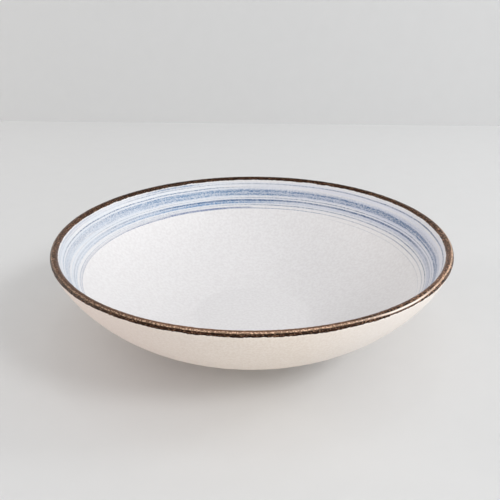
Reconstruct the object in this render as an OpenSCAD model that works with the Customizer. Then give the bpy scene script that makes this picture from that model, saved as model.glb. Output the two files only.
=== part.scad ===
// Pasta bowl in glazed stoneware: a wide, shallow bowl on a low foot ring, with a
// brown glazed rim and blue brushed bands. Origin at the centre of the foot's
// standing plane, +Z up along the bowl's axis.

/* [Bowl] */
// Diameter over the rim
bowl_d = 230; // [200:1:260]
// Height from the standing plane to the top of the rim
bowl_h = 62; // [52:1:76]
// Thickness of the wall, glaze included
wall_t = 4.4; // [3.6:0.1:6]

/* [Wall line] */
// Diameter of the flat well in the middle of the floor
well_d = 68; // [50:1:76]
// Width of the soft step round the well
well_step = 4; // [3:0.5:6]
// Width of the wall's steeper part, from the knee to where it turns up
steep_w = 24; // [18:1:34]
// Width of the upturned part, measured in from the bowl's edge
upturn_w = 11; // [8:1:16]
// Slope of the floor just outside the well, in degrees
floor_slope = 11; // [8:0.5:14]
// Slope of the wall at the knee, in degrees
knee_slope = 32; // [28:0.5:38]
// Slope of the wall where it turns up, in degrees
upturn_slope = 53; // [46:0.5:58]
// Slope of the wall at the rim, in degrees
rim_slope = 67; // [60:0.5:74]

/* [Foot ring] */
// Outside diameter of the foot ring
foot_d = 92; // [86:1:110]
// Width of the ring's standing face, edges included
foot_w = 6; // [4:0.5:8]
// Depth of the recess inside the foot ring
foot_h = 4; // [3:0.5:7]
// Radius of the foot ring's lower edges
foot_edge_r = 1.2; // [0.5:0.1:1.8]

/* [Glaze] */
// Thickness of every glaze coat
glaze_t = 0.4; // [0.3:0.05:0.6]
// How far the brown glaze runs down inside, below the round of the lip
rim_run_in = 0.3; // [0.2:0.1:1.5]
// How far the brown glaze comes down outside, from the top of the rim
rim_drop = 1.9; // [1.2:0.1:2.1]

/* [Blue bands] */
// Thickness of the blue stain in the glaze
stain_t = 0.2; // [0.1:0.05:0.25]
// Width of the pale wash below the brown glaze
wash_w = 14; // [13.7:0.1:20]
// Upper hairline: how far it lies below the brown glaze
hairline_in = 1; // [0.5:0.1:1.1]
// Width of the upper hairline
hairline_w = 0.5; // [0.3:0.1:0.7]
// Second hairline: how far it lies below the brown glaze
second_in = 2.1; // [1.9:0.1:2.2]
// Width of the second hairline
second_w = 0.5; // [0.3:0.1:0.6]
// Main band: how far it lies below the brown glaze
main_in = 3; // [2.9:0.1:3.2]
// Width of the main band
main_w = 2.6; // [2:0.1:2.8]
// Thin line under the main band: how far it lies below the brown glaze
thin_in = 6.2; // [6.1:0.1:6.4]
// Width of the thin line
thin_w = 0.5; // [0.3:0.1:0.5]
// Deep blue line: how far it lies below the brown glaze
deep_in = 7; // [7:0.1:7.1]
// Width of the deep blue line
deep_w = 1; // [0.6:0.1:1]
// Pale blue line: how far it lies below the brown glaze
pale_in = 8.2; // [8.2:0.1:8.4]
// Width of the pale blue line
pale_w = 0.8; // [0.5:0.1:0.8]
// Grey line: how far it lies below the brown glaze
grey_in = 9.4; // [9.3:0.1:9.6]
// Width of the grey line
grey_w = 0.7; // [0.4:0.1:0.8]
// Violet line: how far it lies below the brown glaze
violet_in = 10.6; // [10.5:0.1:10.9]
// Width of the violet line
violet_w = 1.1; // [0.6:0.1:1.2]
// Lowest faint line: how far it lies below the brown glaze
faint_in = 13.1; // [12.2:0.1:13.1]
// Width of the lowest faint line
faint_w = 0.4; // [0.3:0.1:0.5]

/* [Hidden] */
$fn = 96;

bowl_r = bowl_d / 2;
half_t = wall_t / 2;
foot_r = foot_d / 2;

// Steps in each bend of the wall line, in the brown part of the lip's round and the cream
// part below it, and in the foot's edges
bend_steps = 9;
lip_steps = 16;
cream_steps = 4;
edge_steps = 6;
// Halvings when a place on the wall is looked up by its radius
search_steps = 40;

// Stations of the wall's middle line, from the axis to the centre of the lip's round.
// Between two stations the line is one arc, or a straight line where the slopes agree.
upturn_r = bowl_r - upturn_w;
station_r = [0, well_d / 2, well_d / 2 + well_step, upturn_r - steep_w, upturn_r, bowl_r - half_t];
station_slope = [0, 0, floor_slope, knee_slope, upturn_slope, rim_slope];
last_bend = len(station_r) - 2;
lip_place = last_bend + 1;

// Radius and rise within bend i at the share f of its turn, from 0 to 1
function bend_angle(i, f) = station_slope[i] + f * (station_slope[i + 1] - station_slope[i]);
function bend_radius(i) =
    (station_r[i + 1] - station_r[i]) / (sin(station_slope[i + 1]) - sin(station_slope[i]));
function is_straight(i) = station_slope[i] == station_slope[i + 1];
function bend_r(i, f) = is_straight(i)
    ? station_r[i] + f * (station_r[i + 1] - station_r[i])
    : station_r[i] + bend_radius(i) * (sin(bend_angle(i, f)) - sin(station_slope[i]));
function bend_rise(i, f) = is_straight(i)
    ? f * (station_r[i + 1] - station_r[i]) * tan(station_slope[i])
    : bend_radius(i) * (cos(station_slope[i]) - cos(bend_angle(i, f)));
function rise_before(i) = i == 0 ? 0 : rise_before(i - 1) + bend_rise(i - 1, 1);

// The arcs are stretched upwards a little, so that the line ends at the bowl's height
mid_low = foot_h + half_t;
mid_high = bowl_h - half_t;
stretch = (mid_high - mid_low) / rise_before(lip_place);

// A place p on the line is the bend's number plus the share of its turn.
// across is the distance from the middle line, positive towards the inside.
function bend_of(p) = min(floor(p), last_bend);
function slope_at(p) = atan(stretch * tan(bend_angle(bend_of(p), p - bend_of(p))));
function wall_point(p, across) = let (i = bend_of(p), f = p - i, a = slope_at(p)) [
    bend_r(i, f) - across * sin(a),
    mid_low + stretch * (rise_before(i) + bend_rise(i, f)) + across * cos(a)];

// The place whose point at that distance across has the radius r
function place_at(r, across, low = 0, high = lip_place, n = search_steps) =
    let (middle = (low + high) / 2)
    n == 0 ? middle
    : wall_point(middle, across)[0] < r
        ? place_at(r, across, middle, high, n - 1)
        : place_at(r, across, low, middle, n - 1);

// Points along the wall through a list of stops, with the same steps for every coat
function places(from, to) = concat([from],
    [for (i = [0 : last_bend], k = [0 : bend_steps - 1])
        let (p = i + k / bend_steps)
        if (p > from && p < to && !(is_straight(i) && k > 0)) p]);
function wall_run(stops, across) = let (end = len(stops) - 1) [
    for (i = [0 : end - 1]) for (p = places(stops[i], stops[i + 1])) wall_point(p, across),
    wall_point(stops[end], across)];
function reversed(points) = [for (i = [len(points) - 1 : -1 : 0]) points[i]];

// Round of the lip: cream glaze climbs it outside, and the brown goes on from there over
// the top to the inside. Angles are taken about the lip's centre, from level.
lip_centre = wall_point(lip_place, 0);
lip_slope = slope_at(lip_place);
brown_angle = asin((half_t - rim_drop) / half_t);
function lip_arc(r, from, to, steps) = [for (k = [0 : steps])
    let (a = from + (to - from) * k / steps) lip_centre + r * [cos(a), sin(a)]];
function lip_cream(r) = lip_arc(r, lip_slope - 90, brown_angle, cream_steps);
function lip_brown(r) = lip_arc(r, brown_angle, lip_slope + 90, lip_steps);

// Distances across the wall at which the coats meet
face_in = half_t;
face_out = -half_t;
clay_in = half_t - glaze_t;
clay_out = -clay_in;
stain_floor = half_t - stain_t;

// Where the coats end along the wall
lip_bend = bend_radius(last_bend);
lip_turn = (rim_slope - upturn_slope) * PI / 180;
rim_in = lip_place - rim_run_in / ((lip_bend - face_in) * lip_turn);
foot_out = place_at(foot_r, clay_out);
foot_in = place_at(foot_r - foot_w, clay_out);
recess_edge = place_at(foot_r - foot_w, face_out);

// Blue lines as [place of the lower edge, place of the upper edge]
brown_edge_r = wall_point(rim_in, face_in)[0];
function stain_at(run) = place_at(brown_edge_r - run, face_in);
function line(run, width) = [stain_at(run + width), stain_at(run)];
upper_hair = line(hairline_in, hairline_w);
second_hair = line(second_in, second_w);
main_band = line(main_in, main_w);
thin_line = line(thin_in, thin_w);
deep_line = line(deep_in, deep_w);
pale_line = line(pale_in, pale_w);
grey_stroke = line(grey_in, grey_w);
violet_stroke = line(violet_in, violet_w);
faint_line = line(faint_in, faint_w);
lines = [faint_line, violet_stroke, grey_stroke, pale_line, deep_line, thin_line, main_band,
    second_hair, upper_hair];
wash_edge = stain_at(wash_w);

// The wash fills the glaze between the lines
stain_stops = concat([wash_edge], [for (edges = lines) each edges], [rim_in]);
wash_strips = [for (i = [0 : len(lines)]) [stain_stops[2 * i], stain_stops[2 * i + 1]]];

module turned(points) {
    rotate_extrude() polygon(points);
}

// A coat of even thickness through its stops, between two distances across the wall
module coat(stops, upper, lower) {
    turned(concat(wall_run(stops, upper), reversed(wall_run(stops, lower))));
}

module stain(edges) {
    coat(edges, face_in, stain_floor);
}

module clay_body() color([0.80, 0.70, 0.60])
    turned(concat(
        wall_run([0, recess_edge, foot_in, foot_out, lip_place], clay_out),
        lip_cream(clay_in),
        lip_brown(clay_in),
        reversed(wall_run([0, rim_in, lip_place], clay_in))));

// A quarter round of the foot's lower edges, about its centre
function edge_round(centre, start) = [for (k = [0 : edge_steps])
    let (a = start + 90 * k / edge_steps) centre + foot_edge_r * [cos(a), sin(a)]];

module foot_ring() color([0.76, 0.66, 0.56])
    turned(concat(
        edge_round([foot_r - foot_w + foot_edge_r, foot_edge_r], 180),
        edge_round([foot_r - foot_edge_r, foot_edge_r], 270),
        reversed(wall_run([foot_in, foot_out], clay_out))));

module inner_glaze() color([0.93, 0.92, 0.91])
    turned(concat(
        wall_run([0, wash_edge], face_in),
        wall_run(stain_stops, stain_floor),
        reversed(wall_run([0, rim_in], clay_in))));

module outer_glaze() color([0.90, 0.85, 0.79])
    turned(concat(
        wall_run([foot_out, lip_place], clay_out),
        lip_cream(clay_in),
        reversed(lip_cream(half_t)),
        reversed(wall_run([foot_out, lip_place], face_out))));

module recess_glaze() color([0.88, 0.83, 0.77])
    coat([0, recess_edge], clay_out, face_out);

module rim_glaze() color([0.30, 0.20, 0.13])
    turned(concat(
        lip_brown(half_t),
        reversed(wall_run([rim_in, lip_place], face_in)),
        wall_run([rim_in, lip_place], clay_in),
        reversed(lip_brown(clay_in))));

module blue_wash() color([0.80, 0.85, 0.92])
    for (strip = wash_strips) stain(strip);

module upper_hairline() color([0.62, 0.68, 0.80]) stain(upper_hair);
module second_hairline() color([0.62, 0.70, 0.82]) stain(second_hair);
module main_blue_band() color([0.40, 0.53, 0.72]) stain(main_band);
module thin_blue_line() color([0.60, 0.68, 0.80]) stain(thin_line);
module deep_blue_line() color([0.30, 0.40, 0.60]) stain(deep_line);
module pale_blue_line() color([0.56, 0.68, 0.83]) stain(pale_line);
module grey_line() color([0.60, 0.65, 0.74]) stain(grey_stroke);
module violet_line() color([0.48, 0.52, 0.74]) stain(violet_stroke);
module lowest_faint_line() color([0.74, 0.78, 0.86]) stain(faint_line);

clay_body();
foot_ring();
inner_glaze();
outer_glaze();
recess_glaze();
rim_glaze();
blue_wash();
upper_hairline();
second_hairline();
main_blue_band();
thin_blue_line();
deep_blue_line();
pale_blue_line();
grey_line();
violet_line();
lowest_faint_line();
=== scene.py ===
# Pasta bowl: glazes, brushed bands and foot ring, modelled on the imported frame.
import math

import bmesh
import bpy
from mathutils import Matrix, Vector, noise


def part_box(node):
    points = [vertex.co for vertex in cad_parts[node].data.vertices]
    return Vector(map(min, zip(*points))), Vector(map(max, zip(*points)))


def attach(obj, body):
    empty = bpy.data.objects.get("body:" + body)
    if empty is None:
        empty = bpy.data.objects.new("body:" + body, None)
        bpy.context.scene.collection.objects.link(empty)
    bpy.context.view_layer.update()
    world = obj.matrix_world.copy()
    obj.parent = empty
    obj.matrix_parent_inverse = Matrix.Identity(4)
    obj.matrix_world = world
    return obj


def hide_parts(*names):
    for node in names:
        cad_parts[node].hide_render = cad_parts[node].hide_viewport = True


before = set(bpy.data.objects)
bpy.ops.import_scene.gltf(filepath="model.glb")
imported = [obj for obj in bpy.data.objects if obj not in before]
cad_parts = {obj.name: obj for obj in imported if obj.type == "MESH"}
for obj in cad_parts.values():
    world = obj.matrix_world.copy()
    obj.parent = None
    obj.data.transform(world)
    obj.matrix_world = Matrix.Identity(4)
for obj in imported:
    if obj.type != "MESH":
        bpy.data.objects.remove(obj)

bpy.context.view_layer.update()
mm = 0.001

# The wall, in millimetres. Heights, radii and coats come from the frame's own nodes.
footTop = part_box("recess_glaze")[0].z / mm
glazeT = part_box("clay_body")[0].z / mm - footTop
wall = {
    "bowlR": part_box("rim_glaze")[1].x / mm,
    "bowlTop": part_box("rim_glaze")[1].z / mm,
    "thickness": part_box("inner_glaze")[0].z / mm - footTop + glazeT,
    "stain": 0.2,            # thickness of the blue in the glaze
    "washWidth": 14,
    "brownInside": 0.3,      # brown glaze below the round of the lip
    "brownDrop": 1.9,        # how far it comes down outside, from the top
    "wellR": 34,             # flat well in the middle of the floor
    "wellStep": 4,
    "steepWidth": 24,
    "upturnWidth": 11,
    "slopes": [0, 0, 11, 32, 53, 67],   # at the axis, well, step, knee, upturn and lip
}
half = wall["thickness"] / 2
clayIn = half - glazeT
upturnR = wall["bowlR"] - wall["upturnWidth"]
stationR = [0, wall["wellR"], wall["wellR"] + wall["wellStep"],
            upturnR - wall["steepWidth"], upturnR, wall["bowlR"] - half]
stationSlope = [math.radians(slope) for slope in wall["slopes"]]
lipPlace = len(stationR) - 1
lipEnd = lipPlace + 1


# Radius, rise and slope within one bend of the wall's middle line
def bendPoint(bend, share):
    low, high = stationSlope[bend], stationSlope[bend + 1]
    span = stationR[bend + 1] - stationR[bend]
    if low == high:
        return stationR[bend] + share * span, share * span * math.tan(low), low
    size = span / (math.sin(high) - math.sin(low))
    slope = low + share * (high - low)
    return (stationR[bend] + size * (math.sin(slope) - math.sin(low)),
            size * (math.cos(low) - math.cos(slope)), slope)


riseBefore = [0]
for bend in range(lipPlace):
    riseBefore.append(riseBefore[bend] + bendPoint(bend, 1)[1])
lowMiddle = footTop + half
stretch = (wall["bowlTop"] - half - lowMiddle) / riseBefore[lipPlace]
lipSlope = math.atan(stretch * math.tan(stationSlope[lipPlace]))
lipCentre = (stationR[lipPlace], lowMiddle + stretch * riseBefore[lipPlace])


# A place counts the bends from the axis outwards, and past lipPlace it goes over the lip.
# across is the distance from the middle line, towards the inside.
def wallPoint(place, across):
    if place > lipPlace:
        turn = lipSlope + math.pi / 2 - math.pi * (place - lipPlace)
        return lipCentre[0] + across * math.cos(turn), lipCentre[1] + across * math.sin(turn)
    bend = min(int(place), lipPlace - 1)
    r, rise, slope = bendPoint(bend, place - bend)
    slope = math.atan(stretch * math.tan(slope))
    return (r - across * math.sin(slope),
            lowMiddle + stretch * (riseBefore[bend] + rise) + across * math.cos(slope))


halvings = 40        # each one halves the error of a place


# The place on one face of the wall that has this radius
def placeAt(radius, across):
    low, high = 0, lipPlace
    for _ in range(halvings):
        middle = (low + high) / 2
        if wallPoint(middle, across)[0] < radius:
            low = middle
        else:
            high = middle
    return low


# Places along one face, at steps of about so many millimetres
def run(start, end, across, step):
    between = [place for place in range(1, lipEnd) if min(start, end) < place < max(start, end)]
    stops = [start] + (between if end > start else between[::-1]) + [end]
    places = [start]
    for a, b in zip(stops, stops[1:]):
        corners = [wallPoint(a + (b - a) * share, across) for share in (0, 0.5, 1)]
        length = math.dist(corners[0], corners[1]) + math.dist(corners[1], corners[2])
        count = max(1, round(length / step))
        places += [a + (b - a) * k / count for k in range(1, count + 1)]
    return [(place, across) for place in places]


# Millimetres of the inside face to one place, just below the lip
faceLength = math.dist(wallPoint(lipPlace - 0.5, half), wallPoint(lipPlace - 0.4, half)) / 0.1
rimIn = lipPlace - wall["brownInside"] / faceLength
lipLength = math.pi * half      # once over the lip's round
brownAngle = math.asin((half - wall["brownDrop"]) / half)
rimOut = lipEnd - (brownAngle + math.pi / 2 - lipSlope) / math.pi      # cream lies beyond it
brownR = wallPoint(rimIn, half)[0]
washEdge = placeAt(brownR - wall["washWidth"], half)
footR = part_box("foot_ring")[1].x / mm
footWidth = 6
footOut = placeAt(footR, -clayIn)
recessEdge = placeAt(footR - footWidth, -half)

# How uneven the hand and the kiln left the surface, in millimetres
unevenness = {
    "runInside": 0.6,        # the brown runs down past its line, unevenly
    "fadeInside": 1.6,
    "runOutside": 0.6,
    "fadeOutside": 1.2,
    "runWaves": [(2.2, 0.4), (17, 0.35), (150, 0.65)],   # waves round the bowl, and their weights
    "seedInside": 1.5, "seedOutside": 7.5,
    "lumpSize": 3.4, "lumpDepth": 0.05,
    "ringPitch": 6.5, "ringDepth": 0.03,      # throwing rings
    "ringsFrom": 8,                           # radius at which the rings are fully there
    "ringWaver": 4, "waverSize": 30,          # how much the rings wander, and over what length
    "rimLumpSize": 1.5, "rimLumpDepth": 0.11,
    "rimLumpsFrom": 59.2, "rimLumpsIn": 1.5,  # height at which the rim's lumps start, and their fade
}


def clamp(value):
    return max(0.0, min(1.0, value))


# How far the brown has run past its line at this azimuth, as a share
def brownRun(azimuth, seed):
    total = 0.5
    for size, weight in unevenness["runWaves"]:
        spot = Vector((size * math.cos(azimuth), size * math.sin(azimuth), seed))
        total += weight * noise.noise(spot)
    return clamp(total)


# Depth of the surface below its true face
def hollowAt(r, z, azimuth):
    u = unevenness
    spot = Vector((r * math.cos(azimuth), r * math.sin(azimuth), z))
    lumps = u["lumpDepth"] * clamp(0.5 + noise.noise(spot / u["lumpSize"]))
    waver = u["ringWaver"] * noise.noise(spot / u["waverSize"])
    rings = 0.5 + 0.5 * math.sin(math.tau * r / u["ringPitch"] - azimuth + waver)
    rings *= u["ringDepth"] * clamp(r / u["ringsFrom"])
    nearRim = clamp((z - u["rimLumpsFrom"]) / u["rimLumpsIn"])
    rimLumps = nearRim * u["rimLumpDepth"] * clamp(0.5 + noise.noise(spot / u["rimLumpSize"]))
    return lumps + rings * (1 - nearRim) + rimLumps


# A point of a coat. Faces that show get the unevenness, and the rest stay true.
def coatPoint(place, across, azimuth):
    hidden = abs(abs(across) - half) > 0.01      # the faces that show lie at half, but for rounding
    if azimuth is None or hidden:
        return wallPoint(place, across)
    u = unevenness
    if place > lipPlace:
        fade = clamp(1 - abs(place - rimOut) * lipLength / u["fadeOutside"])
        place += fade * u["runOutside"] * brownRun(azimuth, u["seedOutside"]) / lipLength
    elif across > 0:
        gap = (place - rimIn) * faceLength
        fade = clamp(1 - abs(gap) / (wall["brownInside"] if gap > 0 else u["fadeInside"]))
        place -= fade * u["runInside"] * brownRun(azimuth, u["seedInside"]) / faceLength
    r, z = wallPoint(place, across)
    deep = hollowAt(r, z, azimuth)
    return wallPoint(place, across - math.copysign(deep, across))


sectors = 20         # every number of turns is a multiple of it
mergeWithin = 0.001  # millimetres
sharpAngle = 35      # degrees


# Turns closed outlines round the axis into one piece. Every corner keeps its pair of the
# outline, and shape gives the radius and height for it, at an azimuth or true with None.
def turnedPiece(name, outlines, turns, shape):
    bm = bmesh.new()
    first = bm.verts.layers.float.new("first")
    second = bm.verts.layers.float.new("second")
    for outline in outlines:
        corners = []
        for pair in outline:
            r, z = shape(*pair, None)
            corner = bm.verts.new((r * mm, 0, z * mm))
            corner[first], corner[second] = pair
            corners.append(corner)
        for a, b in zip(corners, corners[1:]):
            bm.edges.new((a, b))
        if corners[0].co.x > 0:      # an outline that starts on the axis stays open there
            bm.edges.new((corners[-1], corners[0]))
    # one sector is spun, and then its copies close the round, because long spins are slow
    centre = {"cent": (0, 0, 0), "axis": (0, 0, 1)}
    bmesh.ops.spin(bm, geom=bm.verts[:] + bm.edges[:], angle=math.tau / sectors,
                   steps=turns // sectors, **centre)
    bmesh.ops.spin(bm, geom=bm.verts[:] + bm.edges[:] + bm.faces[:], use_duplicate=True,
                   angle=math.tau * (sectors - 1) / sectors, steps=sectors - 1, **centre)
    bmesh.ops.remove_doubles(bm, verts=bm.verts, dist=mergeWithin * mm)
    for corner in bm.verts:
        azimuth = math.atan2(corner.co.y, corner.co.x)
        r, z = shape(corner[first], corner[second], azimuth)
        corner.co = (r * mm * math.cos(azimuth), r * mm * math.sin(azimuth), z * mm)
    bmesh.ops.recalc_face_normals(bm, faces=bm.faces)
    bm.verts.layers.float.remove(bm.verts.layers.float["first"])
    bm.verts.layers.float.remove(bm.verts.layers.float["second"])
    mesh = bpy.data.meshes.new(name)
    bm.to_mesh(mesh)
    bm.free()
    mesh.shade_smooth()
    mesh.set_sharp_from_angle(angle=math.radians(sharpAngle))
    piece = bpy.data.objects.new(name, mesh)
    bpy.context.scene.collection.objects.link(piece)
    return piece


def finishPiece(piece, material, node):
    piece.data.materials.append(material)
    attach(piece, "root")
    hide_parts(node)
    print(piece.name, len(piece.data.polygons), "faces")


# A colour as a screen shows it, from 0 to 255, in Blender's linear values
def paint(red, green, blue):
    def linear(value):
        value /= 255
        return value / 12.92 if value <= 0.04045 else ((value + 0.055) / 1.055) ** 2.4
    return linear(red), linear(green), linear(blue), 1


def addNode(tree, kind, inputs=None, **settings):
    node = tree.nodes.new("ShaderNode" + kind)
    for key, value in settings.items():
        setattr(node, key, value)
    for key, value in (inputs or {}).items():
        if isinstance(value, bpy.types.NodeSocket):
            tree.links.new(value, node.inputs[key])
        else:
            node.inputs[key].default_value = value
    return node


def maths(tree, operation, *values, clampIt=False):
    node = addNode(tree, "Math", dict(enumerate(values)), operation=operation, use_clamp=clampIt)
    return node.outputs[0]


def spread(tree, value, fromLow, fromHigh, toLow=0.0, toHigh=1.0):
    node = addNode(tree, "MapRange", {"Value": value, "From Min": fromLow, "From Max": fromHigh,
                                      "To Min": toLow, "To Max": toHigh},
                   interpolation_type="SMOOTHSTEP")
    return node.outputs[0]


def mixColours(tree, share, under, over):
    node = addNode(tree, "Mix", {0: share, 6: under, 7: over}, data_type="RGBA")
    return node.outputs[2]


def noiseAt(tree, vector, scale, detail, roughness=0.5):
    node = addNode(tree, "TexNoise", {"Vector": vector, "Scale": scale, "Detail": detail,
                                      "Roughness": roughness})
    return node.outputs["Fac"]


def newGroup(name, inputs, outputs):
    group = bpy.data.node_groups.new(name, "ShaderNodeTree")
    for kind, sockets in (("INPUT", inputs), ("OUTPUT", outputs)):
        for socket, form in sockets.items():
            group.interface.new_socket(name=socket, in_out=kind, socket_type="NodeSocket" + form)
    return group, group.nodes.new("NodeGroupInput"), group.nodes.new("NodeGroupOutput")


def useGroup(tree, group, inputs):
    return addNode(tree, "Group", inputs, node_tree=group)


# Pebbled glaze, as orange peel: a height for bump, and a broader mottle for colour
orangePeel = {
    "finer": 2.3, "finerShare": 0.35,      # finer pebbles among the coarse ones
    "broader": 0.8, "mottle": (0.3, 0.7),
}


def makePebble():
    tree, given, out = newGroup("pebbledGlaze", {"Vector": "Vector", "Scale": "Float"},
                                {"Height": "Float", "Mottle": "Float"})
    place, scale = given.outputs["Vector"], given.outputs["Scale"]
    coarse = noiseAt(tree, place, scale, detail=1.0)
    finer = noiseAt(tree, place, maths(tree, "MULTIPLY", scale, orangePeel["finer"]), detail=1.0)
    broad = noiseAt(tree, place, maths(tree, "MULTIPLY", scale, orangePeel["broader"]), detail=2.0)
    share = orangePeel["finerShare"]
    height = maths(tree, "MULTIPLY_ADD", finer, share, maths(tree, "MULTIPLY", coarse, 1 - share))
    tree.links.new(height, out.inputs["Height"])
    tree.links.new(spread(tree, broad, *orangePeel["mottle"]), out.inputs["Mottle"])
    return tree


# Where a point lies round the bowl: radius, share of a turn, and a vector that
# changes fast across the brush's path and slowly along it
streakScale = {"along": 3.0, "across": 1400.0}


def makeRound():
    tree, given, out = newGroup("roundTheBowl", {"Vector": "Vector"},
                                {"Radius": "Float", "Turn": "Float", "Streak": "Vector"})
    parts = addNode(tree, "SeparateXYZ", {0: given.outputs["Vector"]})
    x, y = parts.outputs[0], parts.outputs[1]
    radius = maths(tree, "SQRT", maths(tree, "MULTIPLY_ADD", x, x, maths(tree, "MULTIPLY", y, y)))
    turn = maths(tree, "DIVIDE", maths(tree, "ARCTAN2", y, x), math.tau)
    turn = maths(tree, "FRACT", maths(tree, "ADD", turn, 1.0))
    alongX = maths(tree, "MULTIPLY", maths(tree, "DIVIDE", x, radius), streakScale["along"])
    alongY = maths(tree, "MULTIPLY", maths(tree, "DIVIDE", y, radius), streakScale["along"])
    across = maths(tree, "MULTIPLY", radius, streakScale["across"])
    streak = addNode(tree, "CombineXYZ", {0: alongX, 1: alongY, 2: across})
    tree.links.new(radius, out.inputs["Radius"])
    tree.links.new(turn, out.inputs["Turn"])
    tree.links.new(streak.outputs[0], out.inputs["Streak"])
    return tree


# One brushed stroke: strongest at its centre, broken by the pebbles and by a dry brush
brush = {
    "waver": 0.3, "waverScale": 45.0,      # millimetres that a stroke wanders, and waves per metre
    "drift": 4,                            # millimetres from one end of a drift to the other
    "solidTo": 0.45,                       # share of the half width at full strength
    "pebbles": 1300.0, "pebbled": (0.4, 0.58),
    "fullest": 1.25,                       # strength between the pebbles
    "dried": (0.35, 0.62),
    "grain": 0.75, "dry": 0.3,             # for strokes that give none of their own
}


def makeStroke():
    tree, given, out = newGroup("brushStroke", {"Vector": "Vector", "Streak": "Vector",
                                                "Radius": "Float", "Centre": "Float",
                                                "Half Width": "Float", "Strength": "Float",
                                                "Grain": "Float", "Dry": "Float"},
                                {"Mask": "Float"})
    place = given.outputs["Vector"]
    waver = maths(tree, "SUBTRACT", noiseAt(tree, place, brush["waverScale"], detail=1.0), 0.5)
    off = maths(tree, "SUBTRACT", given.outputs["Radius"], given.outputs["Centre"])
    off = maths(tree, "ABSOLUTE", maths(tree, "MULTIPLY_ADD", waver, brush["waver"] * mm, off))
    off = maths(tree, "DIVIDE", off, given.outputs["Half Width"])
    body = maths(tree, "MULTIPLY", spread(tree, off, 1.0, brush["solidTo"]), given.outputs["Strength"])
    pebbles = spread(tree, noiseAt(tree, place, brush["pebbles"], detail=1.0), *brush["pebbled"])
    pebbles = maths(tree, "MULTIPLY", given.outputs["Grain"], pebbles)
    dry = noiseAt(tree, given.outputs["Streak"], scale=1.0, detail=3.0)
    dry = spread(tree, dry, *brush["dried"])
    dry = maths(tree, "MULTIPLY", given.outputs["Dry"], dry)
    broken = maths(tree, "MULTIPLY", maths(tree, "SUBTRACT", brush["fullest"], pebbles),
                   maths(tree, "SUBTRACT", 1.0, dry))
    mask = maths(tree, "MULTIPLY", body, broken, clampIt=True)
    tree.links.new(mask, out.inputs["Mask"])
    return tree


# Scattered flecks. A higher amount lets more of the noise through.
fleckNoise = {"detail": 3.0, "roughness": 0.6, "cut": 0.72, "byAmount": 0.4, "edge": 0.08}


def makeFlecks():
    tree, given, out = newGroup("flecks", {"Vector": "Vector", "Scale": "Float", "Amount": "Float"},
                                {"Mask": "Float"})
    grain = noiseAt(tree, given.outputs["Vector"], given.outputs["Scale"],
                    fleckNoise["detail"], fleckNoise["roughness"])
    lowered = maths(tree, "MULTIPLY", given.outputs["Amount"], fleckNoise["byAmount"])
    low = maths(tree, "SUBTRACT", fleckNoise["cut"], lowered)
    high = maths(tree, "ADD", low, fleckNoise["edge"])
    tree.links.new(spread(tree, grain, low, high), out.inputs["Mask"])
    return tree


pebbledGlaze, roundTheBowl = makePebble(), makeRound()
brushStroke, flecks = makeStroke(), makeFlecks()


# A value that changes round the bowl, from (azimuth in degrees, value) points.
# The ramp ends where it starts, at the value that lies between the last point and the first.
def valueRound(tree, turn, points):
    ramp = addNode(tree, "ValToRGB", {0: turn})
    colours = ramp.color_ramp
    points = sorted(points)
    seam = points[0][0] + 360 - points[-1][0]
    share = points[0][0] / seam
    edge = points[0][1] + (points[-1][1] - points[0][1]) * share
    points = [(0, edge)] + [point for point in points if point[0] > 0] + [(360, edge)]
    while len(colours.elements) < len(points):
        colours.elements.new(0.5)      # anywhere, because each is placed below
    for element, (azimuth, value) in zip(colours.elements, points):
        element.position = azimuth / 360
        element.color = (value, value, value, 1)
    return ramp.outputs[0]


def newMaterial(name, roughness, **values):
    material = bpy.data.materials.new(name)
    material.use_nodes = True
    tree = material.node_tree
    shader = tree.nodes["Principled BSDF"]
    shader.inputs["Roughness"].default_value = roughness
    for key, value in values.items():
        shader.inputs[key].default_value = value
    place = addNode(tree, "TexCoord").outputs["Object"]
    return material, tree, shader, place


def addBump(tree, shader, height, depth):
    bump = addNode(tree, "Bump", {"Height": height, "Distance": depth * mm, "Strength": 1.0})
    tree.links.new(bump.outputs[0], shader.inputs["Normal"])


# White glaze of the inside. The blue pieces start from the same surface.
whiteGlaze = {
    "white": paint(236, 234, 234),
    "shade": paint(228, 225, 225),
    "pebbles": 760.0,        # per metre
    "depth": 0.09,           # millimetres
    "roughness": (0.42, 0.55),
}


def whiteSurface(name):
    material, tree, shader, place = newMaterial(name, whiteGlaze["roughness"][0])
    pebble = useGroup(tree, pebbledGlaze, {"Vector": place, "Scale": whiteGlaze["pebbles"]})
    colour = mixColours(tree, pebble.outputs["Mottle"], whiteGlaze["shade"], whiteGlaze["white"])
    shine = spread(tree, pebble.outputs["Mottle"], 0.0, 1.0, *whiteGlaze["roughness"])
    tree.links.new(shine, shader.inputs["Roughness"])
    addBump(tree, shader, pebble.outputs["Height"], whiteGlaze["depth"])
    return material, tree, shader, place, colour


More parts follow.
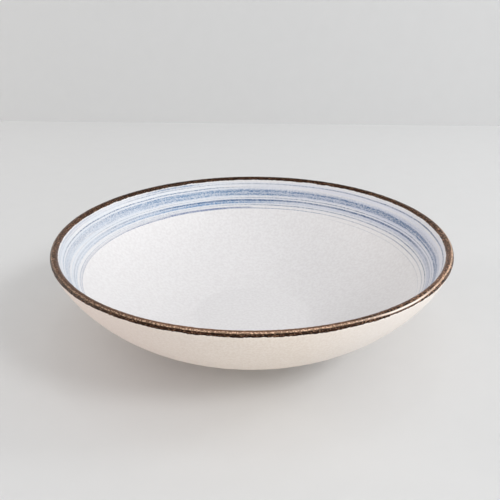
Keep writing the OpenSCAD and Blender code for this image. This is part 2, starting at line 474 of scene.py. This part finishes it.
# Pale wash under the lines, the same in every blue piece, so that no edge shows.
# A stroke lies so far in from the brown, with its half width, in millimetres. round is its
# strength at azimuths in degrees, and drift moves it outwards there, in millimetres.
washTone = {
    "wash": paint(208, 219, 231), "lilac": paint(208, 211, 229),
    "ink": paint(88, 136, 186),
    "slate": paint(84, 106, 146),
    "lower": 11.9, "lowerFade": 4.5, "upperFade": 0.9,      # lower edge, and how far both fade
    "streaked": (0.34, 0.64), "thinnest": 0.25,
    "round": [(0, 0.6), (30, 0.7), (75, 0.5), (100, 0.42), (135, 0.5), (180, 0.55), (270, 0.5)],
    "lilacRound": [(0, 0.9), (60, 0.8), (90, 0.4), (110, 0), (270, 0), (320, 0.7)],
    "slateRound": [(0, 0.85), (60, 0.65), (88, 0.3), (110, 0.05), (135, 0.1), (165, 0.5), (270, 0.6),
                   (320, 0.9)],
    "tones": [
        dict(at=4.3, half=2.1, grain=0.9, dry=0.5,
             round=[(0, 0.4), (30, 0.5), (60, 0.42), (90, 0.5), (120, 0.55), (150, 0.34), (180, 0.12),
                    (270, 0.35)]),
        dict(at=8.1, half=1.4, grain=0.8, dry=0.4,
             round=[(0, 0.4), (30, 0.35), (60, 0.25), (75, 0.35), (90, 0.7), (110, 0.75), (125, 0.5),
                    (150, 0.28), (180, 0.1), (270, 0.3)]),
    ],
}


def addStroke(tree, place, around, colour, ink, stroke):
    turn = around.outputs["Turn"]
    centre = (brownR - stroke["at"]) * mm
    if "drift" in stroke:      # a ramp holds only 0 to 1, so half of it stands for no drift
        reach = brush["drift"]
        points = [(azimuth, 0.5 + drift / reach) for azimuth, drift in stroke["drift"]]
        moved = valueRound(tree, turn, points)
        centre = maths(tree, "MULTIPLY_ADD", moved, reach * mm, centre - reach / 2 * mm)
    mask = useGroup(tree, brushStroke, {
        "Vector": place, "Streak": around.outputs["Streak"], "Radius": around.outputs["Radius"],
        "Centre": centre, "Half Width": stroke["half"] * mm,
        "Strength": valueRound(tree, turn, stroke["round"]),
        "Grain": stroke.get("grain", brush["grain"]), "Dry": stroke.get("dry", brush["dry"])})
    return mixColours(tree, mask.outputs["Mask"], colour, ink)


def blueSurface(name, line):
    material, tree, shader, place, colour = whiteSurface(name)
    around = useGroup(tree, roundTheBowl, {"Vector": place})
    turn = around.outputs["Turn"]
    radius = around.outputs["Radius"]
    low = (brownR - washTone["lower"]) * mm
    extent = maths(tree, "MULTIPLY", spread(tree, radius, low, low + washTone["lowerFade"] * mm),
                   spread(tree, radius, brownR * mm, (brownR - washTone["upperFade"]) * mm))
    streaks = noiseAt(tree, around.outputs["Streak"], scale=1.0, detail=4.0)
    streaks = spread(tree, streaks, *washTone["streaked"], washTone["thinnest"])
    amount = maths(tree, "MULTIPLY", maths(tree, "MULTIPLY", extent, streaks),
                   valueRound(tree, turn, washTone["round"]))
    greyness = valueRound(tree, turn, washTone["slateRound"])
    lilacness = valueRound(tree, turn, washTone["lilacRound"])
    wash = mixColours(tree, lilacness, washTone["wash"], washTone["lilac"])
    colour = mixColours(tree, amount, colour, wash)
    toneInk = mixColours(tree, greyness, washTone["ink"], washTone["slate"])
    for tone in washTone["tones"]:
        colour = addStroke(tree, place, around, colour, toneInk, tone)
    lineInk = mixColours(tree, greyness, line["ink"], line["slate"])
    for stroke in line["strokes"]:
        colour = addStroke(tree, place, around, colour, lineInk, stroke)
    tree.links.new(colour, shader.inputs["Base Color"])
    return material


# Inside glaze: full thickness as far as the wash, then thinner under the blue to the brown
insideGlaze = {"turns": 600, "step": 1.1, "hiddenStep": 5.0}
stainFloor = half - wall["stain"]
outline = (run(0, washEdge, half, insideGlaze["step"])
           + run(washEdge, rimIn, stainFloor, insideGlaze["hiddenStep"])
           + run(rimIn, 0, clayIn, insideGlaze["hiddenStep"]))
piece = turnedPiece("insideGlaze", [outline], insideGlaze["turns"], coatPoint)
material, tree, shader, place, colour = whiteSurface("whiteGlaze")
tree.links.new(colour, shader.inputs["Base Color"])
finishPiece(piece, material, "inner_glaze")


# Blue pieces: where each lies in from the brown, its width, and its brush strokes
blueMesh = {"turns": 840, "step": 0.5, "hiddenStep": 2.0}
inkBlue = {"ink": paint(54, 113, 160), "slate": paint(56, 88, 132)}
inkDeep = {"ink": paint(30, 88, 136), "slate": paint(38, 70, 114)}
inkPale = {"ink": paint(70, 126, 176), "slate": paint(90, 114, 150)}
inkGrey = {"ink": paint(82, 116, 154), "slate": paint(64, 88, 124)}
inkViolet = {"ink": paint(66, 96, 148), "slate": paint(76, 96, 132)}
bluePieces = {
    "upperHairline": {
        "node": "upper_hairline", "slot": "grey_stain", "in": 1, "width": 0.5, **inkGrey,
        "strokes": [dict(at=1.22, half=0.25,
                         round=[(0, 0.95), (30, 0.95), (45, 0.85), (60, 0.65), (75, 0.55), (100, 0.35),
                                (130, 0.6), (150, 0.2), (180, 0.25), (260, 0.3)])]},
    "secondHairline": {
        "node": "second_hairline", "slot": "grey_stain", "in": 2.1, "width": 0.5, **inkGrey,
        "strokes": [dict(at=2.34, half=0.25,
                         round=[(75, 0), (90, 0.2), (105, 0.7), (120, 1), (135, 1), (150, 0.9),
                                (180, 0.6), (210, 0.6), (280, 0.2), (310, 0)])]},
    "mainBlueBand": {
        "node": "main_blue_band", "slot": "blue_stain", "in": 3, "width": 2.6, **inkBlue,
        "strokes": [
            dict(at=3.27, half=0.26, round=[(0, 0.1), (75, 0.15), (90, 0.3), (105, 0.8), (135, 0.8),
                                            (160, 0.35), (180, 0.35), (270, 0.3)]),
            dict(at=3.66, half=0.2, grain=0.7, dry=0.2,
                 round=[(50, 0), (70, 0.35), (90, 0.5), (110, 0.5), (125, 0.3), (140, 0)]),
            dict(at=3.78, half=0.46, grain=0.8,
                 drift=[(0, -0.5), (15, -0.35), (32, 0), (330, -0.2)],
                 round=[(0, 0.7), (15, 1), (30, 1), (75, 0.9), (90, 1), (120, 0.92), (135, 0.6),
                        (155, 0.36), (180, 0.3), (230, 0.4), (300, 0.5)]),
            dict(at=4.45, half=0.36, round=[(0, 0.7), (30, 0.75), (60, 0.5), (105, 0.4), (140, 0.4),
                                            (180, 0.2), (270, 0.4)]),
            dict(at=5.02, half=0.4, grain=0.85, dry=0.35,
                 drift=[(0, -0.35), (15, -0.15), (25, 0), (340, 0)],
                 round=[(0, 1), (30, 0.95), (60, 0.95), (95, 1), (110, 0.75), (125, 0.4), (150, 0.3),
                        (165, 0.12), (180, 0.25), (270, 0.3), (330, 0.8)])]},
    "thinBlueLine": {
        "node": "thin_blue_line", "slot": "blue_stain", "in": 6.2, "width": 0.5, **inkGrey,
        "strokes": [dict(at=6.44, half=0.25, round=[(0, 0.6), (30, 0.85), (80, 0.75), (105, 0.35),
                                                    (150, 0.45), (180, 0.12), (270, 0.3)])]},
    "deepBlueLine": {
        "node": "deep_blue_line", "slot": "deep_stain", "in": 7, "width": 1, **inkDeep,
        "strokes": [dict(at=7.52, half=0.47, grain=0.65, dry=0.15,
                         round=[(0, 0.3), (8, 0.6), (15, 0.95), (30, 1), (45, 0.9), (70, 0.7),
                                (85, 0.95), (105, 0.95), (122, 0.9), (134, 0.4), (150, 0.35),
                                (165, 0.2), (180, 0.2), (230, 0.4), (330, 0.2)])]},
    "paleBlueLine": {
        "node": "pale_blue_line", "slot": "pale_stain", "in": 8.2, "width": 0.8, **inkPale,
        "strokes": [dict(at=8.56, half=0.38, drift=[(70, 0), (88, -0.1), (115, 0)],
                         round=[(76, 0.05), (90, 0.7), (105, 1), (120, 0.95), (140, 0.7), (160, 0.4),
                                (180, 0.25), (220, 0.3), (280, 0.1)])]},
    "greyLine": {
        "node": "grey_line", "slot": "grey_stain", "in": 9.4, "width": 0.7, **inkGrey,
        "strokes": [dict(at=9.74, half=0.3, drift=[(0, -0.05), (30, 0), (330, 0)],
                         round=[(0, 0.75), (15, 0.9), (45, 0.8), (90, 0.75), (105, 0.45), (130, 0.4),
                                (150, 0.25), (170, 0), (270, 0.2)])]},
    "violetLine": {
        "node": "violet_line", "slot": "violet_stain", "in": 10.6, "width": 1.1, **inkViolet,
        "strokes": [
            dict(at=10.93, half=0.3, grain=0.5, dry=0.15,
                 round=[(89, 0), (91, 0.75), (105, 1), (120, 0.9), (134, 0.4), (160, 0.2), (180, 0.3),
                        (250, 0.1)]),
            dict(at=11.4, half=0.26, grain=0.6, dry=0.25,
                 round=[(0, 0.45), (15, 0.7), (30, 0.5), (75, 0.6), (105, 0.95), (135, 0.9), (160, 0.5),
                        (180, 0.45), (205, 0.5), (270, 0.3)])]},
    "lowestFaintLine": {
        "node": "lowest_faint_line", "slot": "grey_stain", "in": 13.1, "width": 0.4, **inkGrey,
        "strokes": [dict(at=13.3, half=0.19, grain=0.6, dry=0.3,
                         round=[(0, 0.3), (40, 0.3), (66, 0), (200, 0), (300, 0.2)])]},
}
for name, line in bluePieces.items():
    upper = brownR - line["in"]
    low, high = placeAt(upper - line["width"], half), placeAt(upper, half)
    outline = (run(low, high, half, blueMesh["step"])
               + run(high, low, stainFloor, blueMesh["hiddenStep"]))
    piece = turnedPiece(name, [outline], blueMesh["turns"], coatPoint)
    finishPiece(piece, blueSurface(name, line), line["node"])

# Wash: a strip above, between and below the lines, with soft strokes of its own
blueWash = {
    **inkBlue,
    "strokes": [dict(at=0.62, half=0.36, grain=0.6, dry=0.2,
                     round=[(95, 0), (108, 0.25), (114, 0.6), (126, 0.6), (134, 0.25), (150, 0.1),
                            (165, 0.3), (180, 0.3), (230, 0)]),
                dict(at=10.35, half=0.24, grain=0.6,
                     round=[(100, 0.1), (125, 0.45), (165, 0.35), (185, 0.5), (205, 0.6),
                            (250, 0.2), (280, 0)])],
}
insets = [line["in"] + side for line in bluePieces.values() for side in (line["width"], 0)]
edges = [placeAt(brownR - inset, half) for inset in sorted(insets, reverse=True)]
edges = [washEdge] + edges + [rimIn]
outlines = [run(a, b, half, blueMesh["step"]) + run(b, a, stainFloor, blueMesh["hiddenStep"])
            for a, b in zip(edges[::2], edges[1::2])]
piece = turnedPiece("blueWash", outlines, blueMesh["turns"], coatPoint)
finishPiece(piece, blueSurface("blueWash", blueWash), "blue_wash")


# Brown glaze over the lip: dark and pebbled, worn to bronze on its outer shoulder, with painted
# highlight in the bronze where the lamps' reflection falls.
# Angles are in degrees, up over the lip from level outside, and rounds are shares at azimuths.
rimGlaze = {
    "turns": 1000, "step": 0.28, "hiddenStep": 0.8,
    "dark": paint(15, 8, 4),
    "brown": paint(54, 29, 19),
    "litInner": paint(128, 90, 68),
    "bronzeSheen": paint(248, 207, 176),
    "glint": paint(253, 236, 224),   # painted highlight: the window's glint on the front right, painted near white
    "speck": paint(222, 172, 138),
    # The inner face is painted lighter at the front, where light falls on it, and dark at the back:
    # painted light and shade.
    "litInnerFrom": (68, 84),
    "litInnerRound": [(0, 0.1), (40, 0), (140, 0), (165, 0.12), (190, 0.2), (215, 0.3), (230, 0.4),
                   (255, 0.75), (275, 0.75), (292, 0.35), (306, 0.15), (318, 0.35), (335, 0.3)],
    # The bronze is partly worn glaze and partly painted highlight: its rounds and floor make it
    # brighter and fuller at the azimuths where the lamps' reflection falls.
    "bronzeSheenFrom": (41, 53), "bronzeSheenTo": (78, 64),
    "bronzeSheenRound": [(0, 0.8), (30, 0.45), (90, 0.2), (150, 0.3), (200, 0.4), (225, 0.45), (240, 0.6),
                    (258, 1), (286, 1), (296, 0.85), (306, 1), (330, 1)],
    "glintRound": [(292, 0), (299, 0.5), (304, 1), (313, 1), (326, 0)],
    "glintLower": 22,            # degrees by which the glint lies lower on the shoulder
    "bronzeSheenFloor": [(0, 0.38), (40, 0.05), (180, 0.05), (215, 0.2), (240, 0.2), (270, 0.3), (290, 0.32),
                    (297, 0.45), (304, 1), (313, 1), (321, 0.5), (332, 0.42), (345, 0.38)],
    # The specks are fuller at the right and front right, where the window light falls: real flecks with
    # painted sparkle.
    "speckSheenRound": [(0, 1), (18, 0.6), (40, 0.45), (60, 0.4), (85, 0.3), (115, 0.25), (140, 0.3),
                   (165, 0.5), (185, 0.6), (215, 0.35), (270, 0.3), (300, 0.35), (314, 0.9),
                   (340, 1)],
    "pebbles": 1000.0, "flecks": 1150.0, "fleckAmount": 0.58,
    "specks": 1350.0, "speckAmount": 0.42,
    "roughness": 0.3, "gloss": 0.15, "shine": (1.0, 0.8, 0.6, 1), "depth": 0.28,
}


def betweenAngles(tree, value, angles):
    return spread(tree, value, *[math.radians(angle) for angle in angles])


outline = (run(rimIn, rimOut, half, rimGlaze["step"])
           + run(rimOut, rimIn, clayIn, rimGlaze["hiddenStep"]))
piece = turnedPiece("rimGlaze", [outline], rimGlaze["turns"], coatPoint)
material, tree, shader, place = newMaterial("brownGlaze", rimGlaze["roughness"],
                                            **{"Specular IOR Level": rimGlaze["gloss"],
                                               "Specular Tint": rimGlaze["shine"]})
pebble = useGroup(tree, pebbledGlaze, {"Vector": place, "Scale": rimGlaze["pebbles"]})
around = useGroup(tree, roundTheBowl, {"Vector": place})
turn = around.outputs["Turn"]
height = addNode(tree, "SeparateXYZ", {0: place}).outputs[2]
overLip = maths(tree, "ARCTAN2", maths(tree, "SUBTRACT", height, lipCentre[1] * mm),
                maths(tree, "SUBTRACT", around.outputs["Radius"], lipCentre[0] * mm))
colour = mixColours(tree, pebble.outputs["Mottle"], rimGlaze["dark"], rimGlaze["brown"])
# painted light and shade: the inner face lighter at the front, darker at the back
litInner = maths(tree, "MULTIPLY", valueRound(tree, turn, rimGlaze["litInnerRound"]),
              betweenAngles(tree, overLip, rimGlaze["litInnerFrom"]))
colour = mixColours(tree, litInner, colour, rimGlaze["litInner"])
# real flecks, fuller where the window light falls: part painted sparkle
specks = useGroup(tree, flecks, {"Vector": place, "Scale": rimGlaze["specks"],
                                 "Amount": rimGlaze["speckAmount"]})
specks = maths(tree, "MULTIPLY", specks.outputs["Mask"],
               valueRound(tree, turn, rimGlaze["speckSheenRound"]))
colour = mixColours(tree, specks, colour, rimGlaze["speck"])
# painted highlight: a near-white glint at the front right, set lower on the shoulder
glint = valueRound(tree, turn, rimGlaze["glintRound"])
onShoulder = maths(tree, "MULTIPLY_ADD", glint, math.radians(rimGlaze["glintLower"]), overLip)
# worn bronze with painted highlight, brighter and fuller where the lamps' reflection falls
shoulder = maths(tree, "MULTIPLY", betweenAngles(tree, onShoulder, rimGlaze["bronzeSheenFrom"]),
                 betweenAngles(tree, onShoulder, rimGlaze["bronzeSheenTo"]))
worn = useGroup(tree, flecks, {"Vector": place, "Scale": rimGlaze["flecks"],
                               "Amount": rimGlaze["fleckAmount"]})
grain = maths(tree, "MAXIMUM", worn.outputs["Mask"],
              valueRound(tree, turn, rimGlaze["bronzeSheenFloor"]))
bronzeSheen = maths(tree, "MULTIPLY", maths(tree, "MULTIPLY", shoulder, grain),
               valueRound(tree, turn, rimGlaze["bronzeSheenRound"]))
sheenColour = mixColours(tree, glint, rimGlaze["bronzeSheen"], rimGlaze["glint"])
colour = mixColours(tree, bronzeSheen, colour, sheenColour)
tree.links.new(colour, shader.inputs["Base Color"])
addBump(tree, shader, pebble.outputs["Height"], rimGlaze["depth"])
finishPiece(piece, material, "rim_glaze")


# Cream glaze outside and under the floor: matt and sandy
creamGlaze = {
    "cream": paint(250, 239, 228), "sand": paint(242, 229, 216),
    "pebbles": 1100.0, "roughness": 0.6, "depth": 0.05,
    "grit": paint(200, 180, 157), "grits": 1500.0, "gritAmount": 0.2, "gritStrength": 0.5,
    "paintedShadeAndSheen": [           # outside only, painted light: a warmer painted shade on the left and a paler painted sheen on the right, each a colour and its share round the bowl
        (paint(240, 220, 213), [(120, 0), (180, 0.4), (200, 0.5), (235, 0.45), (262, 0.05), (280, 0)]),
        (paint(250, 247, 247), [(60, 0), (281, 0), (300, 0.35), (330, 0.4), (0, 0.3)]),
    ],
}


def creamSurface(name, paintedShadeAndSheen=()):
    material, tree, shader, place = newMaterial(name, creamGlaze["roughness"])
    pebble = useGroup(tree, pebbledGlaze, {"Vector": place, "Scale": creamGlaze["pebbles"]})
    colour = mixColours(tree, pebble.outputs["Mottle"], creamGlaze["sand"], creamGlaze["cream"])
    # painted light: a warmer shade on the left of the outside and a paler sheen on the right
    for paintedTone, points in paintedShadeAndSheen:
        turn = useGroup(tree, roundTheBowl, {"Vector": place}).outputs["Turn"]
        colour = mixColours(tree, valueRound(tree, turn, points), colour, paintedTone)
    grit = useGroup(tree, flecks, {"Vector": place, "Scale": creamGlaze["grits"],
                                   "Amount": creamGlaze["gritAmount"]})
    gritty = maths(tree, "MULTIPLY", grit.outputs["Mask"], creamGlaze["gritStrength"])
    colour = mixColours(tree, gritty, colour, creamGlaze["grit"])
    tree.links.new(colour, shader.inputs["Base Color"])
    addBump(tree, shader, pebble.outputs["Height"], creamGlaze["depth"])
    return material


outsideGlaze = {"turns": 600, "step": 1.1, "lipStep": 0.4, "hiddenStep": 5.0}
outline = (run(footOut, lipPlace, -half, outsideGlaze["step"])
           + run(lipEnd, rimOut, half, outsideGlaze["lipStep"])[1:]
           + run(rimOut, lipEnd, clayIn, outsideGlaze["lipStep"])
           + run(lipPlace, footOut, -clayIn, outsideGlaze["hiddenStep"])[1:])
piece = turnedPiece("outsideGlaze", [outline], outsideGlaze["turns"], coatPoint)
finishPiece(piece, creamSurface("creamGlaze", creamGlaze["paintedShadeAndSheen"]), "outer_glaze")

underGlaze = {"turns": 360, "step": 1.2, "hiddenStep": 5.0}
outline = (run(0, recessEdge, -half, underGlaze["step"])
           + run(recessEdge, 0, -clayIn, underGlaze["hiddenStep"]))
piece = turnedPiece("underGlaze", [outline], underGlaze["turns"], coatPoint)
finishPiece(piece, creamSurface("creamUnderGlaze"), "recess_glaze")


# Foot ring: rounded below, with a soft fillet of glaze where it meets the bowl
footRing = {
    "turns": 540,
    "edgeR": 1.2,
    "fillet": 1.8,
    "edgeSteps": 8,
    "filletSteps": 6,
    "faceSteps": 4,
    "lumpSize": 2.5, "lumpDepth": 0.06,
    "bareTo": 1.5,           # height up to which the clay is bare
    "edgeWander": 0.8, "edgeScale": 120.0, "edgeSoft": 0.15,     # of the glaze's edge above it
    "clay": paint(188, 160, 132), "darkClay": paint(160, 130, 104),
    "pebbles": 1200.0, "roughness": 0.8, "depth": 0.06,
    "speck": paint(96, 70, 52), "specks": 900.0, "speckAmount": 0.25, "speckStrength": 0.6,
}


def arc(centreR, centreZ, radius, start, end, steps):
    turns = [math.radians(start + (end - start) * k / steps) for k in range(steps + 1)]
    return [(centreR + radius * math.cos(turn), centreZ + radius * math.sin(turn)) for turn in turns]


def undersideZ(radius):
    return wallPoint(placeAt(radius, -half), -half)[1]


def footPoint(r, z, azimuth):
    if azimuth is None or z > footTop:
        return r, z
    spot = Vector((r * math.cos(azimuth), r * math.sin(azimuth), z))
    inwards = footRing["lumpDepth"] * clamp(0.5 + noise.noise(spot / footRing["lumpSize"]))
    return r - math.copysign(inwards, r - (footR - footWidth / 2)), z


edgeR, fillet = footRing["edgeR"], footRing["fillet"]
innerR = footR - footWidth
innerTop, outerTop = undersideZ(innerR - fillet), undersideZ(footR + fillet)
sunk = clayIn / 4      # the hidden top lies just inside the clay
outline = (arc(innerR - fillet, innerTop - fillet, fillet, 90, 0, footRing["filletSteps"])
           + arc(innerR + edgeR, edgeR, edgeR, 180, 270, footRing["edgeSteps"])
           + [(innerR + edgeR + (footWidth - 2 * edgeR) * k / footRing["faceSteps"], 0)
              for k in range(1, footRing["faceSteps"])]
           + arc(footR - edgeR, edgeR, edgeR, 270, 360, footRing["edgeSteps"])
           + arc(footR + fillet, outerTop - fillet, fillet, 180, 90, footRing["filletSteps"])
           + [(footR + fillet, outerTop + sunk), (innerR - fillet, innerTop + sunk)])
piece = turnedPiece("footRing", [outline], footRing["turns"], footPoint)
material, tree, shader, place = newMaterial("footClay", footRing["roughness"])
pebble = useGroup(tree, pebbledGlaze, {"Vector": place, "Scale": footRing["pebbles"]})
clay = mixColours(tree, pebble.outputs["Mottle"], footRing["darkClay"], footRing["clay"])
specks = useGroup(tree, flecks, {"Vector": place, "Scale": footRing["specks"],
                                 "Amount": footRing["speckAmount"]})
specks = maths(tree, "MULTIPLY", specks.outputs["Mask"], footRing["speckStrength"])
clay = mixColours(tree, specks, clay, footRing["speck"])
glaze = mixColours(tree, pebble.outputs["Mottle"], creamGlaze["sand"], creamGlaze["cream"])
height = addNode(tree, "SeparateXYZ", {0: place}).outputs[2]
ragged = noiseAt(tree, place, footRing["edgeScale"], detail=3.0)
ragged = maths(tree, "MULTIPLY_ADD", ragged, footRing["edgeWander"] * mm, height)
bareTop = (footRing["bareTo"] + footRing["edgeWander"] / 2) * mm
glazed = spread(tree, ragged, bareTop, bareTop + footRing["edgeSoft"] * mm)
tree.links.new(mixColours(tree, glazed, clay, glaze), shader.inputs["Base Color"])
addBump(tree, shader, pebble.outputs["Height"], footRing["depth"])
finishPiece(piece, material, "foot_ring")

# The clay body itself stays as the frame has it, hidden between the glazes
bodyClay = {
    "clay": paint(206, 182, 156), "darkClay": paint(184, 158, 130),
    "pebbles": 900.0, "roughness": 0.85, "depth": 0.05,
}
material, tree, shader, place = newMaterial("bodyClay", bodyClay["roughness"])
pebble = useGroup(tree, pebbledGlaze, {"Vector": place, "Scale": bodyClay["pebbles"]})
colour = mixColours(tree, pebble.outputs["Mottle"], bodyClay["darkClay"], bodyClay["clay"])
tree.links.new(colour, shader.inputs["Base Color"])
addBump(tree, shader, pebble.outputs["Height"], bodyClay["depth"])
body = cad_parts["clay_body"]
for slot in body.material_slots:
    slot.material = material
print("clay body kept from the frame")

# Table and wall behind it
room = {
    "table": paint(222, 222, 222), "tableRoughness": 0.95,
    "wall": paint(219, 219, 219), "wallRoughness": 0.9,
    "mottleScale": 60.0, "mottle": 0.97,  # how dark the darker spots are
    "wallY": 0.562, "wallTurn": -3.5,     # metres behind the bowl, and degrees about the vertical
    "reach": 4.0, "wallHeight": 2.0,
}


def flatMaterial(name, colour, roughness):
    material, tree, shader, place = newMaterial(name, roughness)
    grain = noiseAt(tree, place, room["mottleScale"], detail=4.0)
    darker = tuple(value * room["mottle"] for value in colour[:3]) + (1,)
    tree.links.new(mixColours(tree, grain, colour, darker), shader.inputs["Base Color"])
    return material


def stageSheet(name, corners, material):
    bm = bmesh.new()
    bm.faces.new([bm.verts.new(corner) for corner in corners])
    mesh = bpy.data.meshes.new(name)
    bm.to_mesh(mesh)
    bm.free()
    mesh.materials.append(material)
    sheet = bpy.data.objects.new(name, mesh)
    bpy.context.scene.collection.objects.link(sheet)


reach, slant = room["reach"], math.tan(math.radians(room["wallTurn"]))
left, right = room["wallY"] - slant * reach, room["wallY"] + slant * reach
stageSheet("table", [(-reach, -reach, 0), (reach, -reach, 0), (reach, right, 0), (-reach, left, 0)],
           flatMaterial("tableTop", room["table"], room["tableRoughness"]))
stageSheet("backWall", [(-reach, left, 0), (reach, right, 0), (reach, right, room["wallHeight"]),
                        (-reach, left, room["wallHeight"])],
           flatMaterial("wallPaint", room["wall"], room["wallRoughness"]))

# Light: soft lamps high and low on the right, a stronger one high in front of them, weaker
# ones in front and overhead, a warm one on the left, and pale light all round
lighting = {
    "lamps": [
        {"name": "window", "place": (1.6, 0.08, 1.15), "size": (0.45, 0.45), "power": 4.0,
         "colour": (0.97, 0.99, 1.0)},
        {"name": "lowRight", "place": (1.9, 0.05, 0.4), "size": (0.6, 0.6), "power": 4.3,
         "colour": (0.96, 0.985, 1.0)},
        {"name": "frontHigh", "place": (1.1, -0.9, 1.2), "size": (0.5, 0.5), "power": 8.8,
         "colour": (0.98, 0.99, 1.0)},
        {"name": "frontRight", "place": (0.9, -1.6, 0.75), "size": (1.0, 1.0), "power": 2.4,
         "colour": (0.92, 0.97, 1.0)},
        {"name": "overhead", "place": (0.1, 0.05, 1.7), "size": (0.25, 0.25), "power": 0.6,
         "colour": (1.0, 1.0, 1.0)},
        {"name": "left", "place": (-1.6, 0.25, 0.45), "size": (0.4, 0.4), "power": 4.9,
         "colour": (1.0, 0.94, 0.88)},
    ],
    "skyStrength": 0.672, "skyColour": (1.0, 1.0, 1.0, 1),
}
for given in lighting["lamps"]:
    lamp = bpy.data.lights.new(given["name"], "AREA")
    lamp.shape = "ELLIPSE"
    lamp.size, lamp.size_y = given["size"]
    lamp.energy = given["power"]
    lamp.color = given["colour"]
    lampObject = bpy.data.objects.new(given["name"], lamp)
    lampObject.location = given["place"]
    lampObject.rotation_euler = (-Vector(given["place"])).to_track_quat("-Z", "Y").to_euler()
    bpy.context.scene.collection.objects.link(lampObject)
world = bpy.data.worlds.new("softSky")
world.use_nodes = True
sky = world.node_tree.nodes["Background"]
sky.inputs["Color"].default_value = lighting["skyColour"]
sky.inputs["Strength"].default_value = lighting["skyStrength"]
bpy.context.scene.world = world
bpy.context.scene.view_settings.view_transform = "Standard"

# Camera, as measured from the rim's ellipse in the photograph
view = {
    "focal": 672.3, "frame": 500, "sensor": 36,      # focal length and frame in pixels
    "near": 0.01, "far": 20,
    "distance": 0.4, "elevation": 23.44, "roll": -0.2,
    "target": (-1.0 * mm, 0, (wall["bowlTop"] - 10.5) * mm),
}
camera = bpy.data.cameras.new("camera")
camera.sensor_width = view["sensor"]
camera.lens = view["focal"] / view["frame"] * view["sensor"]
camera.clip_start, camera.clip_end = view["near"], view["far"]
cameraObject = bpy.data.objects.new("camera", camera)
bpy.context.scene.collection.objects.link(cameraObject)
elevation, roll = math.radians(view["elevation"]), math.radians(view["roll"])
back = Vector((0, -math.cos(elevation), math.sin(elevation)))
level, upright = Vector((1, 0, 0)), Vector((0, math.sin(elevation), math.cos(elevation)))
across = math.cos(roll) * level + math.sin(roll) * upright
upwards = math.cos(roll) * upright - math.sin(roll) * level
turned = Matrix((across, upwards, back)).transposed().to_4x4()
stand = Vector(view["target"]) + back * view["distance"]
cameraObject.matrix_world = Matrix.Translation(stand) @ turned
bpy.context.scene.camera = cameraObject
print("stage, light and camera set")
